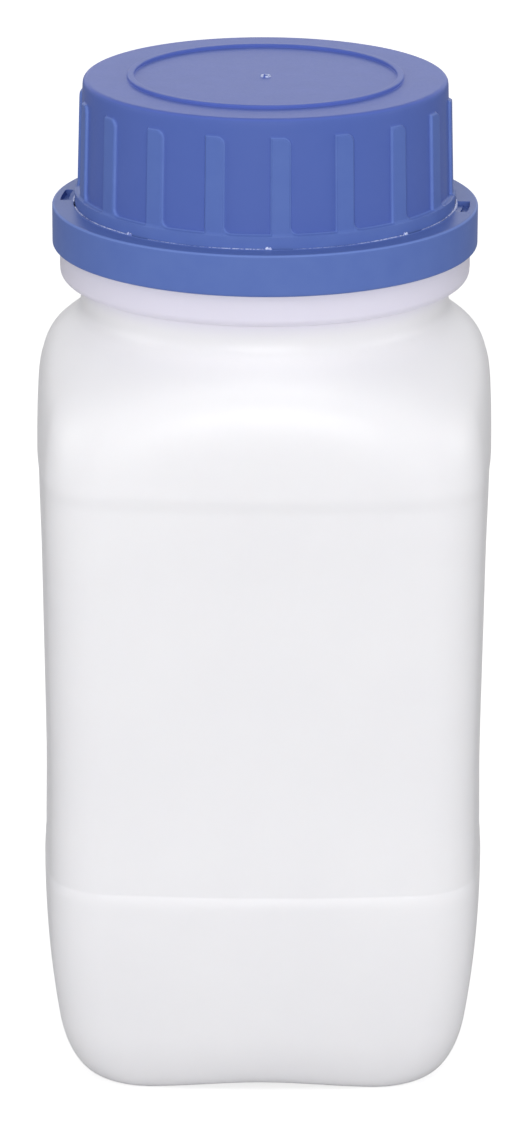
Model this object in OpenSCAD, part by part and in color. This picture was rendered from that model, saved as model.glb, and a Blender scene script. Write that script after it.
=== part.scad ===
// Square wide-neck reagent bottle with a ribbed screw cap and a tamper ring.
// The bottle stands on its four corners at z = 0, with the neck's axis along Z.

/* [Body] */
// Width across the flats at the shoulder
body_width = 88; // [78:0.5:98]
// Width across the flats at the foot
foot_width = 86.4; // [76:0.2:96]
// Height of the body, up to the underside of the collar
body_height = 155.5; // [140:0.5:180]
// Wall of the blown body
body_wall = 1.4; // [1:0.1:2.2]
// Radius of the upright corners
corner_radius = 12; // [9:0.5:16]
// Radius of the slight outward crown of each face
crown_radius = 266; // [200:2:400]

/* [Label panel] */
// Depth of the label panel below the shoulder and the foot
panel_recess = 0.6; // [0.3:0.1:0.9]
// Height of the panel's lower edge
panel_bottom = 43; // [40:0.5:55]
// Height of the panel itself
panel_height = 80.4; // [60:0.2:84]
// Height of the step at the panel's lower edge
lower_step = 0.9; // [0.5:0.1:2]
// Height of the step at the panel's upper edge
upper_step = 2; // [1:0.1:3]

/* [Shoulder] */
// Radius of the domed shoulder's arc
dome_radius = 67.6; // [60:0.2:76]
// Distance of that arc's centre from the axis
dome_offset = 6.4; // [2:0.1:10]
// Height of the waist, from the collar down to where the dome's arc ends
waist_drop = 7.1; // [5:0.1:9]
// Power that blends the dome with the flat faces, sharper when higher
face_blend = 11.2; // [8:0.2:20]
// Power that blends the dome with the waist, sharper when higher
waist_blend = 18.6; // [10:0.2:30]

/* [Foot] */
// Height over which the faces lean in to the base
foot_lean_height = 40.8; // [30:0.2:40.8]
// How far each face leans in at the base
foot_lean = 4.9; // [3:0.1:5.5]
// Power of that lean's curve
foot_lean_power = 2.2; // [1.8:0.1:3]
// Height of the rounding at the base
foot_round_height = 13.4; // [8:0.2:16]
// Width of the rounding at the base
foot_round_width = 4.4; // [3:0.1:6.5]
// Height of the arch under each face, between the corners
foot_arch = 1.3; // [0.8:0.1:2.4]
// Width of the flat pads at the corners, as a share of the base
pad_share = 0.08; // [0.05:0.01:0.12]
// Height that the base rises at the middle
push_up = 4; // [2.5:0.1:6]

/* [Neck] */
// Outer diameter of the neck, at the root of the thread
neck_diameter = 62.4; // [56:0.2:66]
// Wall of the neck
neck_wall = 2.2; // [1.6:0.1:3]
// Height of the neck, from the collar to the lip
neck_height = 22.8; // [19:0.2:28]
// Width of the rounding on the lip
lip_round = 0.7; // [0.3:0.1:0.8]
// Radius at the root of the neck
neck_root_round = 1.5; // [0.8:0.1:2.2]

/* [Collar] */
// Height of the collar
collar_height = 12.7; // [11.5:0.1:15]
// How far the collar stands out past the cap's band
collar_margin = 2.9; // [2.5:0.1:4.1]
// How far the collar stands out past the waist
collar_overhang = 4; // [3.4:0.1:5]
// Wall of the collar
collar_wall = 1.6; // [1.2:0.1:2]
// Rounding of the collar's lower edge
collar_round = 1.6; // [1:0.1:2.2]
// Width of the bevel on the collar's upper edge
collar_bevel = 0.6; // [0.3:0.1:1]
// Depth of the groove that holds the tamper ring
groove_depth = 0.7; // [0.4:0.1:0.9]
// Height of that groove
groove_height = 1.6; // [1.2:0.1:2]
// Height of the ring's lower edge below the groove's middle
groove_rise = 1.9; // [1.6:0.1:2.4]

/* [Tamper ring] */
// Height of the ring
ring_height = 8; // [7:0.1:9.5]
// Thickness of the ring's wall
ring_wall = 1.3; // [1:0.1:1.8]
// Thickness of the ring's ledge
ring_ledge = 1.5; // [1.2:0.1:2]
// Rounding of the ring's outer edges
ring_round = 0.5; // [0.2:0.1:0.6]
// Gap between the ring and the collar, all round
ring_fit = 0.15; // [0.1:0.05:0.25]
// Play of the ring above the collar
ring_play = 0.2; // [0.1:0.05:0.3]
// Room between the ring's retaining bead and its groove
bead_fit = 0.1; // [0.05:0.05:0.2]

/* [Ratchet] */
// Number of ratchet pockets in the ledge
pocket_count = 2; // [2:1:4]
// Angle that each pocket covers
pocket_angle = 12; // [9:0.5:18]
// Width of the pocket
pocket_width = 1.4; // [0.9:0.1:1.5]
// Distance from the ring's inner edge to the pocket
pocket_inset = 1.1; // [0.8:0.1:1.2]
// Thickness of the ledge left under the pocket
pocket_floor = 0.4; // [0.3:0.1:0.6]
// Depth of the ramp beside each pocket
ramp_depth = 0.8; // [0.4:0.1:1]

/* [Bridges] */
// Number of bridges between the ring and the cap
bridge_count = 8; // [6:1:12]
// Angle of the first bridge, from the front
bridge_phase = 1; // [0:0.5:20]
// Width of each bridge along the ring
bridge_width = 1.1; // [0.6:0.1:1.6]
// Gap between the ring's ledge and the cap's band
bridge_gap = 0.4; // [0.3:0.05:0.8]
// How far a bridge stands up beside the band
bridge_height = 0.6; // [0.3:0.1:1]
// Break between a bridge and the cap
bridge_break = 0.12; // [0.08:0.02:0.2]

/* [Cap] */
// Room for the two threads between the neck and the cap
thread_room = 1.8; // [1.5:0.1:2.4]
// Thickness of the cap's skirt at its top
skirt_wall = 1.65; // [1.3:0.05:2.2]
// How much wider the skirt is at its foot
skirt_draft = 0.6; // [0.2:0.1:1]
// Thickness of the cap's top
cap_roof = 2; // [1.5:0.1:3]
// Rounding of the cap's upper edge
cap_round = 1; // [0.5:0.1:1.3]
// Height of the band at the cap's foot, above the ring
band_height = 2.6; // [1.8:0.1:4]
// How far the band stands out past the ribs
band_margin = 0.4; // [0.3:0.05:0.6]
// Width of the bevel on the band's upper edge
band_bevel = 0.2; // [0.1:0.05:0.25]
// How far the band reaches down beside the ring's ledge
band_sink = 0.4; // [0.2:0.05:0.6]
// Outer radius of the raised circle on the top
bead_radius = 26.35; // [20:0.05:30]
// Width of that circle
bead_width = 1.35; // [0.8:0.05:2]
// Height of that circle
bead_height = 0.6; // [0.3:0.1:1]
// Diameter of the broken moulding gate at the middle of the top
gate_diameter = 2; // [1.2:0.2:4]
// Width of the gate's rim
gate_rim = 0.4; // [0.2:0.1:0.5]
// Height of that rim
gate_height = 0.3; // [0.1:0.1:0.5]

/* [Grip ribs] */
// Number of grip ribs
rib_count = 18; // [12:1:20]
// Angle of the rib nearest the front
rib_phase = 4.7; // [0:0.1:10]
// Width of a rib
rib_width = 3.7; // [2.4:0.1:4.4]
// Height that a rib stands out of the skirt
rib_raise = 0.75; // [0.5:0.05:1]
// Plain height of the skirt above the ribs
rib_top_margin = 3.45; // [2.5:0.05:6]
// Rounding of a rib's free corners
rib_round = 1.5; // [0.8:0.1:1.8]

/* [Liner] */
// Thickness of the sealing liner
liner_thickness = 1.2; // [0.8:0.1:2]
// Gap between the liner and the cap's bore
liner_fit = 0.5; // [0.3:0.05:0.8]
// Width of the bevel on the liner's edge
liner_bevel = 0.2; // [0.1:0.05:0.3]

/* [Hidden] */

$fn = 128;
NATURAL = [0.93, 0.93, 0.95];
BLUE = [0.36, 0.44, 0.74];
FOAM = [0.97, 0.97, 0.95];

// Radii of the neck, the cap and the ring, from the inside out.
neck_radius = neck_diameter / 2;
mouth_radius = neck_radius - neck_wall;
cap_bore = neck_radius + thread_room;
skirt_top_radius = cap_bore + skirt_wall;
skirt_foot_radius = skirt_top_radius + skirt_draft;
rib_foot_radius = skirt_foot_radius + rib_raise;
band_radius = rib_foot_radius + band_margin;
ledge_radius = band_radius + bridge_gap;
collar_radius = band_radius + collar_margin;
waist_radius = collar_radius - collar_overhang;
ring_bore = collar_radius + ring_fit;
ring_radius = ring_bore + ring_wall;

// Inner radius and length of a ratchet pocket.
pocket_inner = ledge_radius + pocket_inset;
pocket_length = pocket_inner * pocket_angle * PI / 180;

// Heights, from the collar up.
collar_top = body_height + collar_height;
lip_level = collar_top + neck_height;
ring_top = collar_top + ring_play + ring_ledge;
ring_foot = ring_top - ring_height;
groove_level = ring_foot + groove_rise;
band_foot = ring_top - band_sink;
band_top = ring_top + band_height;
roof_level = lip_level + liner_thickness;
cap_top = roof_level + cap_roof;
rib_top = cap_top - rib_top_margin;
panel_top = panel_bottom + panel_height;

// The loft of the body.
// How far the dome's arc stands off the axis at the waist, and where its centre lies.
dome_reach = waist_radius - dome_offset;
dome_centre = body_height - waist_drop - sqrt(pow(dome_radius, 2) - pow(dome_reach, 2));
// The loft runs into the collar's floor up to its middle.
loft_top = body_height + collar_wall / 2;
side_steps = 4;
corner_steps = 4;
pole_steps = 4;
foot_steps = 6;
lean_steps = 5;
step_steps = 3;
dome_steps = 15;
inner_dome_steps = 11;
// The collar's floor stands this far inside the body's wall.
floor_lap = 0.15;
// The arches fade out over this height.
arch_fade = 18;
// Below this share of its bow, the arch lies flat as a corner's pad.
pad_bow = 0.15;
// The shoulder's rounding starts this far above the panel.
shoulder_start = panel_top + 3;
// The sweep at a rib's foot ends this far inside the band.
rib_sink = 0.05;
arc_steps = 8;

// Centre of a corner's arc along each axis, for a section of half width w and corner r.
function corner_centre(w, r) =
    let (a = w - crown_radius, k = crown_radius - r) (a + sqrt(2 * k * k - a * a)) / 2;

// Angle from the face's middle at which the crown meets the corner's arc.
function corner_start(w, r) =
    let (a = w - crown_radius, c = corner_centre(w, r), grow = crown_radius / (crown_radius - r))
    atan2(c * grow, a + (c - a) * grow);

// Distance from the axis to a crowned square with round corners, t degrees from a face's middle.
function square_reach(t, w, r) =
    let (a = w - crown_radius, d = corner_centre(w, r) * sqrt(2), u = 45 - t)
    t < corner_start(w, r)
        ? a * cos(t) + sqrt(pow(crown_radius, 2) - pow(a * sin(t), 2))
        : d * cos(u) + sqrt(max(0, r * r - pow(d * sin(u), 2)));

// Angle from the middle of the nearest face.
function from_face(angle) = abs(((angle + 45) % 90) - 45);

// A smooth step from 0 to 1.
function ease(x) = let (u = min(1, max(0, x))) u * u * (3 - 2 * u);

// How deep the label panel is at level z, from 0 to 1.
function panel_share(z) =
    ease((z - panel_bottom) / lower_step) * ease((panel_top - z) / upper_step);

// Half width of the body at level z, before the base is rounded.
function side_half(z) =
    let (lean = max(0, 1 - z / foot_lean_height), up = ease((z - panel_bottom) / panel_height))
    (foot_width + (body_width - foot_width) * up) / 2
    - panel_recess * panel_share(z) - foot_lean * pow(lean, foot_lean_power);

// How far the rounding of the base draws a face in at level z.
function foot_draw(z) =
    let (u = min(1, max(0, 1 - z / foot_round_height))) foot_round_width * (1 - sqrt(1 - u * u));

// Distance from the axis to the domed shoulder at level z.
function dome_at(z, inset) =
    let (h = max(0, z - dome_centre))
    dome_offset + sqrt(max(0, pow(dome_radius - inset, 2) - h * h));

// Distance from the axis to the body's skin, or to its inside when inset is the wall.
function body_reach(angle, z, inset) =
    let (
        w = side_half(z) - foot_draw(z - inset) - inset,
        flat = square_reach(from_face(angle), w, corner_radius - inset),
        shoulder = pow(pow(flat, -face_blend) + pow(dome_at(z, inset), -face_blend), -1 / face_blend),
        waist = (waist_radius - inset) * ease((z - panel_bottom) / panel_height)
    )
    pow(pow(shoulder, waist_blend) + pow(waist, waist_blend), 1 / waist_blend);

// Height of the arch under the face at an angle, flat at the corners and faded out above the foot.
function arch_at(angle, z) =
    let (bow = pow(cos(2 * from_face(angle)), 2))
    foot_arch * max(0, bow - pad_bow) / (1 - pad_bow) * ease(1 - z / arch_fade);

corner_angle = corner_start(body_width / 2, corner_radius);
octant = concat(
    [for (i = [0 : side_steps - 1]) corner_angle * i / side_steps],
    [for (i = [0 : corner_steps]) corner_angle + (45 - corner_angle) * i / corner_steps]
);
octant_last = len(octant) - 1;
quarter = concat(octant, [for (i = [octant_last - 1 : -1 : 1]) 90 - octant[i]]);
angles = [for (q = [0 : 90 : 270]) each [for (t = quarter) q + t]];

// Levels of the sections, bottom to top: the foot's rounding, its lean, the panel, the shoulder.
foot_levels = [for (i = [0 : foot_steps]) foot_round_height * (1 - cos(90 * i / foot_steps))];
lean_levels = [
    for (i = [1 : lean_steps])
        foot_round_height + (panel_bottom - foot_round_height) * i / lean_steps
];
panel_levels = concat(
    [for (i = [1 : step_steps]) panel_bottom + lower_step * i / step_steps],
    [panel_bottom + panel_height / 2],
    [for (i = [step_steps : -1 : 0]) panel_top - upper_step * i / step_steps]
);
function shoulder_levels(steps) =
    [for (i = [0 : steps]) shoulder_start + (loft_top - shoulder_start) * sin(90 * i / steps)];

outer_levels = concat(foot_levels, lean_levels, panel_levels, shoulder_levels(dome_steps));
inner_levels = concat(
    [for (z = foot_levels) z + body_wall],
    [(foot_round_height + panel_bottom) / 2, panel_bottom + lower_step, panel_top - upper_step],
    shoulder_levels(inner_dome_steps)
);

// One closed section of the body.
function section(z, inset) = [
    for (a = angles)
        let (r = body_reach(a, z, inset)) [r * cos(a), r * sin(a), z + arch_at(a, z - inset)]
];

// One ring of the base, as a share of the section that it stands on. It rises inside the pads.
function base_ring(share, inset) = [
    for (a = angles)
        let (r = share * body_reach(a, inset, inset), rise = 1 - pow(share / (1 - pad_share), 2))
        [r * cos(a), r * sin(a), inset + arch_at(a, 0) * share + push_up * rise]
];

shares = [for (i = [1 : pole_steps]) (1 - pad_share) * i / pole_steps];

// A closed solid through equal rings, with a point at each end.
module loft(rings, first, last) {
    count = len(rings[0]);
    end = len(rings) * count;
    skin = [
        for (k = [0 : len(rings) - 2], i = [0 : count - 1])
            let (a = k * count + i, b = k * count + (i + 1) % count)
            each [[a, a + count, b], [b, a + count, b + count]]
    ];
    fans = [
        for (i = [0 : count - 1])
            let (j = (i + 1) % count)
            each [[end, i, j], [end + 1, end - count + j, end - count + i]]
    ];
    polyhedron(points = concat([for (ring = rings) each ring], [first, last]),
        faces = concat(skin, fans), convexity = 6);
}

// Points of an arc about a centre, from one angle to another.
function arc(centre, r, from, to) =
    [for (i = [0 : arc_steps]) let (a = from + (to - from) * i / arc_steps) centre + r * [cos(a), sin(a)]];

// The blown body: crowned square sections that blend into the domed shoulder, hollow inside.
module blown_body() {
    outside = concat(
        [for (s = shares) base_ring(s, 0)],
        [for (z = outer_levels) section(z, 0)]
    );
    inside = concat(
        [for (i = [len(inner_levels) - 1 : -1 : 0]) section(inner_levels[i], body_wall)],
        [for (i = [len(shares) - 1 : -1 : 0]) base_ring(shares[i], body_wall)]
    );
    loft(concat(outside, inside), [0, 0, push_up], [0, 0, push_up + body_wall]);
}

// The collar and the neck, as one turned wall that follows the collar inside too.
module collar_and_neck() {
    floor_radius = waist_radius - body_wall - floor_lap;
    hollow = collar_radius - groove_depth - collar_wall;
    rotate_extrude() polygon(concat(
        [[floor_radius, body_height]],
        arc([collar_radius - collar_round, body_height + collar_round], collar_round, -90, 0),
        [
            [collar_radius, groove_level - groove_height / 2],
            [collar_radius - groove_depth, groove_level - groove_height / 2 + groove_depth / 2],
            [collar_radius - groove_depth, groove_level + groove_height / 2 - groove_depth / 2],
            [collar_radius, groove_level + groove_height / 2],
            [collar_radius, collar_top - collar_bevel],
            [collar_radius - collar_bevel, collar_top]
        ],
        arc([neck_radius + neck_root_round, collar_top + neck_root_round], neck_root_round, 270, 180),
        arc([neck_radius - lip_round, lip_level - lip_round], lip_round, 0, 90),
        arc([mouth_radius + lip_round, lip_level - lip_round], lip_round, 90, 180),
        [
            [mouth_radius, collar_top - collar_wall],
            [hollow - collar_round, collar_top - collar_wall],
            [hollow, collar_top - collar_wall - collar_round],
            [hollow, body_height + collar_wall + collar_round],
            [hollow - collar_round, body_height + collar_wall],
            [floor_radius, body_height + collar_wall]
        ]
    ));
}

module bottle() {
    color(NATURAL) union() {
        blown_body();
        collar_and_neck();
    }
}

module at_pockets() {
    for (i = [0 : pocket_count - 1]) rotate([0, 0, i * 360 / pocket_count]) children();
}

// A ramp cut into the ledge beside a pocket. It is steep at its heel on +X and runs out clockwise.
module ramp_cut() {
    translate([0, 0, ring_top]) rotate([90, 0, 90]) translate([0, 0, band_radius])
        linear_extrude(pocket_inner + pocket_width / 2 - band_radius)
        polygon([
            [0, -ramp_depth], [0, ramp_depth], [-pocket_length, ramp_depth], [-pocket_length, 0]
        ]);
}

module tamper_ring() {
    bead_radius_in = collar_radius - groove_depth + bead_fit;
    bead_half = groove_height / 2 - bead_fit;
    color(BLUE) difference() {
        rotate_extrude() polygon(concat(
            [[ring_bore, ring_foot]],
            arc([ring_radius - ring_round, ring_foot + ring_round], ring_round, -90, 0),
            arc([ring_radius - ring_round, ring_top - ring_round], ring_round, 0, 90),
            [
                [ledge_radius, ring_top],
                [ledge_radius, ring_top - ring_ledge],
                [ring_bore, ring_top - ring_ledge],
                [ring_bore, groove_level + bead_half],
                [bead_radius_in, groove_level + bead_half - groove_depth / 2],
                [bead_radius_in, groove_level - bead_half + groove_depth / 2],
                [ring_bore, groove_level - bead_half]
            ]
        ));
        at_pockets() rotate([0, 0, -pocket_angle]) rotate_extrude(angle = pocket_angle)
            translate([pocket_inner, ring_top - ring_ledge + pocket_floor])
            square([pocket_width, 2 * ring_ledge]);
        at_pockets() ramp_cut();
    }
}

// Small webs that stand against the band, from the ledge's inner edge up.
module tamper_bridges() {
    spread = bridge_width / ledge_radius * 180 / PI;
    inner = band_radius + bridge_break;
    outer = ledge_radius - bridge_break / 4;
    color(BLUE) for (i = [0 : bridge_count - 1])
        rotate([0, 0, -90 + bridge_phase + i * 360 / bridge_count - spread / 2])
            rotate_extrude(angle = spread)
            polygon([
                [inner, ring_top - ring_ledge / 2],
                [outer, ring_top - ring_ledge / 2],
                [outer, ring_top],
                [inner, ring_top + bridge_height]
            ]);
}

// Outline of one rib, seen from outside, with its foot at the origin. Its right side is rounded
// off at the top and flows into the band below.
module rib_outline(height) {
    half = rib_width / 2;
    root = -band_height / 4;
    polygon(concat(
        [[-half, root], [half + rib_round, root]],
        arc([half + rib_round, rib_round - rib_sink], rib_round, 270, 180),
        arc([half - rib_round, height - rib_round], rib_round, 0, 90),
        [[-half, height]]
    ));
}

// The body of revolution that the ribs share outside.
module rib_envelope() {
    slope = skirt_draft / (cap_top - band_top);
    rotate_extrude() polygon([
        [cap_bore + skirt_wall / 2, band_top - band_height / 4],
        [rib_foot_radius - rib_raise / 2, band_top - band_height / 4],
        [rib_foot_radius, band_top],
        [rib_foot_radius - slope * (rib_top - band_top), rib_top],
        [cap_bore + skirt_wall / 2, rib_top]
    ]);
}

module cap_skirt() {
    rotate_extrude() polygon(concat(
        [
            [cap_bore, band_foot],
            [band_radius, band_foot],
            [band_radius, band_top - band_bevel],
            [band_radius - band_bevel, band_top],
            [skirt_foot_radius, band_top]
        ],
        arc([skirt_top_radius - cap_round, cap_top - cap_round], cap_round, 0, 90),
        [
            [0, cap_top],
            [0, roof_level],
            [cap_bore, roof_level]
        ]
    ));
}

module screw_cap() {
    inner = bead_radius - bead_width;
    edge = bead_width / 5;
    color(BLUE) difference() {
        union() {
            cap_skirt();
            intersection() {
                rib_envelope();
                for (i = [0 : rib_count - 1]) rotate([0, 0, -90 + rib_phase + i * 360 / rib_count])
                    translate([cap_bore + skirt_wall / 3, 0, band_top])
                    rotate([90, 0, 90])
                    linear_extrude(rib_foot_radius) rib_outline(rib_top - band_top);
            }
            rotate_extrude() polygon([
                [inner, cap_top - cap_roof / 2],
                [bead_radius, cap_top - cap_roof / 2],
                [bead_radius, cap_top + bead_height - edge],
                [bead_radius - edge, cap_top + bead_height],
                [inner + edge, cap_top + bead_height],
                [inner, cap_top + bead_height - edge]
            ]);
            translate([0, 0, cap_top - cap_roof / 2])
                cylinder(d = gate_diameter, h = cap_roof / 2 + gate_height);
        }
        translate([0, 0, cap_top - gate_height])
            cylinder(d = gate_diameter - 2 * gate_rim, h = 3 * gate_height);
    }
}

module sealing_liner() {
    radius = cap_bore - liner_fit;
    color(FOAM) rotate_extrude() polygon([
        [0, lip_level],
        [radius - liner_bevel, lip_level],
        [radius, lip_level + liner_bevel],
        [radius, roof_level - liner_bevel],
        [radius - liner_bevel, roof_level],
        [0, roof_level]
    ]);
}

bottle();
tamper_ring();
tamper_bridges();
screw_cap();
sealing_liner();
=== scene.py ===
"""Square wide-neck reagent bottle with its screw cap, tamper ring, bridges and liner."""

import math
from functools import partial
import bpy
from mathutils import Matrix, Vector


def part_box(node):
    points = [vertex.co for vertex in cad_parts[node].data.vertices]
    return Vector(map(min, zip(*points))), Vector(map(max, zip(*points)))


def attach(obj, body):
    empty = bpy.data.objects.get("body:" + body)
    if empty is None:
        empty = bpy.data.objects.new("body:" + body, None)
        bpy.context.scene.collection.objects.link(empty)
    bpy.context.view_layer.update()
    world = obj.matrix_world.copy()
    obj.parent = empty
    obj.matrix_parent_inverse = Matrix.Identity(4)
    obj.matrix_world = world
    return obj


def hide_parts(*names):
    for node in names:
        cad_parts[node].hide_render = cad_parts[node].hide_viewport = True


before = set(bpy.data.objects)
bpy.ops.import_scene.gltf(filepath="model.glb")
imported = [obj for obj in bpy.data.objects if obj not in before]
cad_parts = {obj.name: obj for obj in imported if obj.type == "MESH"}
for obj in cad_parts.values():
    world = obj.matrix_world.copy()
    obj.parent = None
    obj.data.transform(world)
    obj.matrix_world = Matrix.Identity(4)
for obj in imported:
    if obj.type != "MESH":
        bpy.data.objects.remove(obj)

from types import SimpleNamespace

import bmesh
import bpy
from bpy.props import FloatProperty, FloatVectorProperty, IntProperty, PointerProperty

bl_info = {
    "name": "Reagent bottle",
    "version": (1, 0, 0),
    "blender": (4, 5, 0),
    "location": "3D View > Sidebar > Bottle",
    "description": "Makes a square wide-neck reagent bottle with its cap, tamper ring and liner",
    "category": "Add Mesh",
}

MM = 0.001
FULL = 2 * math.pi
QUARTER = math.pi / 2
EIGHTH = math.pi / 4
FRONT = -QUARTER
# The width of a step that looks upright.
SLIVER = 0.03 * MM
# How far a plastic's grain moves its roughness.
GLOSS_SPREAD = 0.1
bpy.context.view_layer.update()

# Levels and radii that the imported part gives.
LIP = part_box("bottle")[1].z
RING_LOW, RING_TOP = (end.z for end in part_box("tamper_ring"))
RING_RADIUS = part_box("tamper_ring")[1].x
CAP_LOW, CAP_HIGH = (end.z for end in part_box("screw_cap"))
CAP_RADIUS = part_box("screw_cap")[1].x
LINER_LOW, LINER_HIGH = (end.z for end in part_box("sealing_liner"))
LINER_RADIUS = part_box("sealing_liner")[1].x


def linear(code):
    """A colour written as sRGB hex, as the linear values that a shader takes."""
    shares = [int(code[i : i + 2], 16) / 255 for i in (1, 3, 5)]
    return [s / 12.92 if s <= 0.04045 else ((s + 0.055) / 1.055) ** 2.4 for s in shares]


def number(name, description, default, **more):
    """A number that the user may change."""
    return FloatProperty(name=name, description=description, default=default, **more)


def length(name, description, millimetres):
    """A length that the user may change, with its default in millimetres."""
    return number(name, description, millimetres * MM, unit="LENGTH", precision=5)


def turned_by(name, description, degrees):
    """An angle that the user may change, with its default in degrees."""
    return number(name, description, math.radians(degrees), subtype="ANGLE")


def share_of(name, description, default):
    """A share from 0 to 1 that the user may change."""
    return number(name, description, default, min=0, max=1, subtype="FACTOR")


def power(name, description, watts):
    """The power of a lamp, which the user may change."""
    return number(name, description, watts, subtype="POWER")


def how_many(name, description, default, low, high):
    """A count that the user may change, within limits."""
    return IntProperty(name=name, description=description, default=default, min=low, max=high)


def paint(name, description, code):
    """A colour that the user may change, with its default as sRGB hex."""
    return FloatVectorProperty(
        name=name, description=description, default=linear(code), min=0, max=1, subtype="COLOR"
    )


class BOTTLE_PG_wall(bpy.types.PropertyGroup):
    """Sizes of the blown body."""

    shoulder_width: length("Shoulder width", "Width across the flats at the shoulder", 87.8)
    foot_width: length("Foot width", "Width across the flats at the foot", 86.2)
    wall: length("Wall", "Thickness of the blown wall", 1.4)
    corner_radius: length("Corner radius", "Radius of the upright corners", 12)
    crown_radius: length("Crown radius", "Radius of the outward crown of each face", 266)
    panel_bottom: length("Panel bottom", "Level of the label panel's lower edge", 43.4)
    panel_height: length("Panel height", "Height of the label panel", 80.4)
    panel_recess: length("Panel recess", "Depth of the label panel at its edges", 0.28)
    panel_hollow: length("Panel hollow", "How much deeper the panel is inside its edges", 0.34)
    hollow_fade: length("Hollow fade", "Height over which the panel deepens", 22)
    lower_step: length("Lower step", "Height of the swell under the panel", 2.8)
    upper_step: length("Upper step", "Height of the step at the panel's upper edge", 3.6)
    dome_radius: length("Dome radius", "Radius of the shoulder's arc", 67.6)
    dome_offset: length("Dome offset", "Distance of the arc's centre from the axis", 6.4)
    waist_drop: length("Waist drop", "Height of the waist under the collar", 7.1)
    face_blend: number("Face blend", "Power that blends the dome with the faces", 11.2)
    waist_blend: number("Waist blend", "Power that blends the dome with the waist", 18.6)
    lean_height: length("Lean height", "Height over which the faces lean in", 40.8)
    lean: length("Lean", "How far each face leans in at the base", 4.9)
    lean_power: number("Lean power", "Power of the lean's curve", 2.2)
    foot_height: length("Foot round height", "Height of the rounding at the base", 13.4)
    foot_draw: length("Foot round width", "Width of the rounding at the base", 4.4)
    arch: length("Arch", "Height of the arch under each face", 1.3)
    arch_fade: length("Arch fade", "Height over which the arches fade out", 18)
    pad_bow: share_of("Pad bow", "Share of the arch that lies flat as a pad", 0.15)
    pad_share: share_of("Pad share", "Width of the flat pads, as a share of the base", 0.08)
    push_up: length("Push-up", "Height that the base rises at the middle", 4)
    seam_width: length("Seam width", "Width of the mould's parting line", 0.5)
    seam_height: length("Seam height", "Height of the mould's parting line", 0.08)


class BOTTLE_PG_neck(bpy.types.PropertyGroup):
    """Sizes of the collar, the neck and the two threads."""

    neck_radius: length("Neck radius", "Outer radius at the root of the thread", 31.2)
    neck_wall: length("Neck wall", "Thickness of the neck", 2.2)
    neck_height: length("Neck height", "Height from the collar to the lip", 22.8)
    collar_radius: length("Collar radius", "Outer radius of the collar", 39.3)
    collar_height: length("Collar height", "Height of the collar", 12.7)
    collar_overhang: length("Collar overhang", "How far the collar stands out past the waist", 4)
    collar_wall: length("Collar wall", "Thickness of the collar", 1.6)
    collar_round: length("Collar round", "Rounding of the collar's lower edge", 1.6)
    groove_depth: length("Groove depth", "Depth of the ring's groove", 0.7)
    groove_height: length("Groove height", "Height of the ring's groove", 1.6)
    groove_rise: length("Groove rise", "Height of the groove above the ring's foot", 1.9)
    lip_round: length("Lip round", "Rounding of the lip", 0.7)
    seam_end: length("Seam end", "Distance from the lip to the parting line's end", 4)
    lead: length("Thread lead", "Rise of the thread in one turn", 6)
    thread_start: length("Thread start", "Height of the thread's start above the collar", 5)
    neck_turns: number("Neck turns", "Turns of the thread on the neck", 2.3)
    cap_turns: number("Cap turns", "Turns of the thread in the cap", 2.1)
    thread_depth: length("Thread depth", "Height of each thread", 1.3)
    thread_root: length("Thread root", "Width of each thread at its root", 2.6)
    thread_crest: length("Thread crest", "Width of each thread at its crest", 1.1)
    bore_radius: length("Cap bore", "Inner radius of the cap", 33)


class BOTTLE_PG_cap(bpy.types.PropertyGroup):
    """Sizes of the cap and its ribs."""

    rib_count: how_many("Ribs", "Number of grip ribs", 18, 12, 24)
    rib_turn: turned_by("Rib turn", "Angle of the rib nearest the front", 4.7)
    rib_width: length("Rib width", "Width of a rib", 3.7)
    rib_raise: length("Rib raise", "Height that a rib stands out", 0.65)
    rib_round: length("Rib round", "Rounding of a rib's free corners", 1.5)
    rib_margin: length("Rib margin", "Plain height of the skirt above the ribs", 3.45)
    skirt_draft: length("Skirt draft", "How much wider the skirt is at its foot", 0.6)
    band_height: length("Band height", "Height of the band above the ring", 2.6)
    band_margin: length("Band margin", "How far the band stands out past the ribs", 0.4)
    edge_round: length("Edge round", "Rounding of the upper edge", 1)
    soft_edge: length("Soft edge", "Width over which a rib's edges turn", 0.5)
    roof: length("Roof", "Thickness of the cap's top", 2)
    bead_radius: length("Bead radius", "Outer radius of the raised circle", 26.35)
    bead_width: length("Bead width", "Width of the raised circle", 1.35)
    bead_height: length("Bead height", "Height of the raised circle", 0.6)
    gate_radius: length("Gate radius", "Outer radius of the broken moulding gate", 1)
    gate_rim: length("Gate rim", "Width of the gate's rim", 0.4)
    gate_height: length("Gate height", "Height of the gate's rim", 0.3)


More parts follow.
